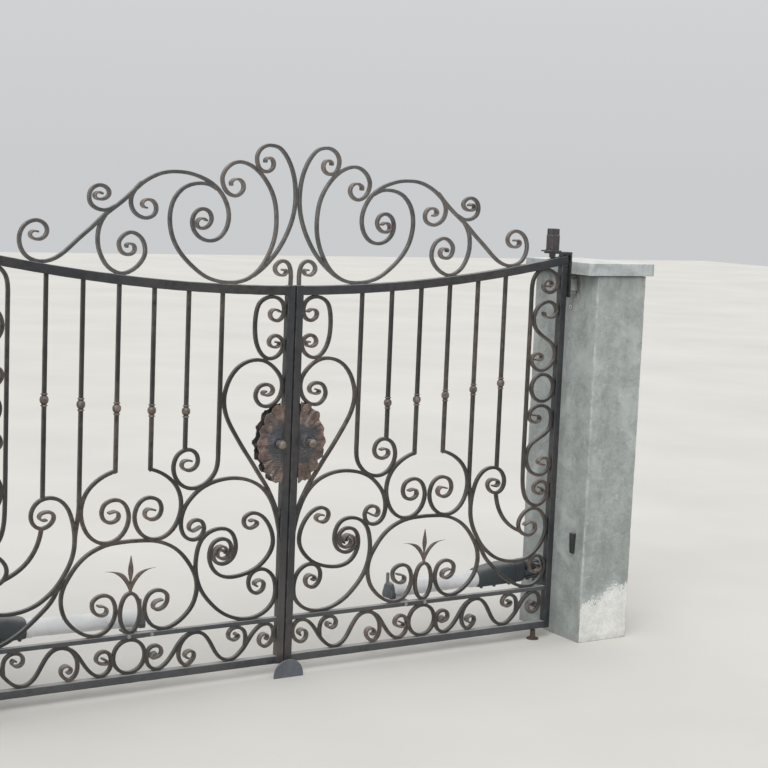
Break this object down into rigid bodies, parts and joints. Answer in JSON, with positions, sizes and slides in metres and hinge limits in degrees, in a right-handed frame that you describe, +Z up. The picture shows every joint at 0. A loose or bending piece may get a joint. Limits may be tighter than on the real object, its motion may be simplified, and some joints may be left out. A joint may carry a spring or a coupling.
{
  "type": "wrought iron driveway gate",
  "caption": "Two-leaf inward-opening driveway gate of wrought iron scrollwork on floor and head pivots, with electric ram drives, hung between capped concrete piers",
  "frame": {"origin": "middle of the right pier's foot, on the ground", "axes": "+Z up, +X along the closed gate to the right as seen from the street, +Y to the inside, the way the leaves open"},
  "size_m": [3.2, 0.434, 1.9763],
  "materials": {
    "black_iron": "black-grey paint with rubbed copper on the scroll ends",
    "copper_patina": "hammered sheet, dark paint rubbed back to copper",
    "concrete": "trowelled cement render, stained",
    "cap_concrete": "cast concrete, weathered",
    "stop_paint": "blue-grey paint, scuffed",
    "housing_paint": "dark satin paint",
    "rusty_steel": "rusted steel",
    "bracket_paint": "dark grey paint, bare zinc bolts",
    "dark_plastic": "matt black",
    "drive_plastic": "dark grey housing, light grey tube",
    "drive_grey": "light grey paint"
  },
  "bodies": {
    "root": {"ground_stop": "stop_paint", "right_pier": "concrete", "right_pier_cap": "cap_concrete", "right_pivot_bracket": "black_iron", "right_pivot_housing": "housing_paint", "right_floor_pivot": "rusty_steel", "right_drive_bracket": "bracket_paint", "right_photocell": "dark_plastic", "left_pier": "concrete", "left_pier_cap": "cap_concrete", "left_pivot_bracket": "black_iron", "left_pivot_housing": "housing_paint", "left_floor_pivot": "rusty_steel", "left_drive_bracket": "bracket_paint", "left_photocell": "dark_plastic"},
    "right_leaf": {"right_top_rail": "black_iron", "right_middle_rail": "black_iron", "right_bottom_rail": "black_iron", "right_hinge_stile": "black_iron", "right_meeting_stile": "black_iron", "right_bars": "black_iron", "right_crest": "black_iron", "right_heart_scrolls": "black_iron", "right_side_scrolls": "black_iron", "right_lower_scrolls": "black_iron", "right_band_scrolls": "black_iron", "right_rosette": "copper_patina", "right_leaf_bracket": "bracket_paint"},
    "left_leaf": {"left_top_rail": "black_iron", "left_middle_rail": "black_iron", "left_bottom_rail": "black_iron", "left_hinge_stile": "black_iron", "left_meeting_stile": "black_iron", "left_bars": "black_iron", "left_crest": "black_iron", "left_heart_scrolls": "black_iron", "left_side_scrolls": "black_iron", "left_lower_scrolls": "black_iron", "left_band_scrolls": "black_iron", "left_rosette": "copper_patina", "left_leaf_bracket": "bracket_paint"},
    "right_drive": {"right_drive_body": "drive_plastic"},
    "left_drive": {"left_drive_body": "drive_plastic"},
    "right_carriage": {"right_drive_carriage": "drive_grey"},
    "left_carriage": {"left_drive_carriage": "drive_grey"}
  },
  "joints": [
    {"name": "right_leaf_hinge", "type": "hinge", "parent": "root", "child": "right_leaf", "pos_m": [-0.26, -0.07, 0], "axis": [0, 0, -1], "range_deg": [0, 90]},
    {"name": "left_leaf_hinge", "type": "hinge", "parent": "root", "child": "left_leaf", "pos_m": [-2.63, -0.07, 0], "axis": [0, 0, 1], "range_deg": [0, 90]},
    {"name": "right_drive_swivel", "type": "hinge", "parent": "root", "child": "right_drive", "pos_m": [-0.188, 0.08, 0], "axis": [0, 0, -1], "range_deg": [0, 98.21]},
    {"name": "left_drive_swivel", "type": "hinge", "parent": "root", "child": "left_drive", "pos_m": [-2.702, 0.08, 0], "axis": [0, 0, 1], "range_deg": [0, 98.21]},
    {"name": "right_carriage_slide", "type": "slide", "parent": "right_drive", "child": "right_carriage", "axis": [0.9982, 0.0592, 0], "range_m": [0, 0.2217]},
    {"name": "left_carriage_slide", "type": "slide", "parent": "left_drive", "child": "left_carriage", "axis": [-0.9982, 0.0592, 0], "range_m": [0, 0.2217]}
  ],
  "couplings": [
    {"joint": "right_drive_swivel", "follows": "right_leaf_hinge", "ratio": 1.0911},
    {"joint": "left_drive_swivel", "follows": "left_leaf_hinge", "ratio": 1.0911},
    {"joint": "right_carriage_slide", "follows": "right_leaf_hinge", "m_per_rad": 0.14107},
    {"joint": "left_carriage_slide", "follows": "left_leaf_hinge", "m_per_rad": 0.14107}
  ]
}
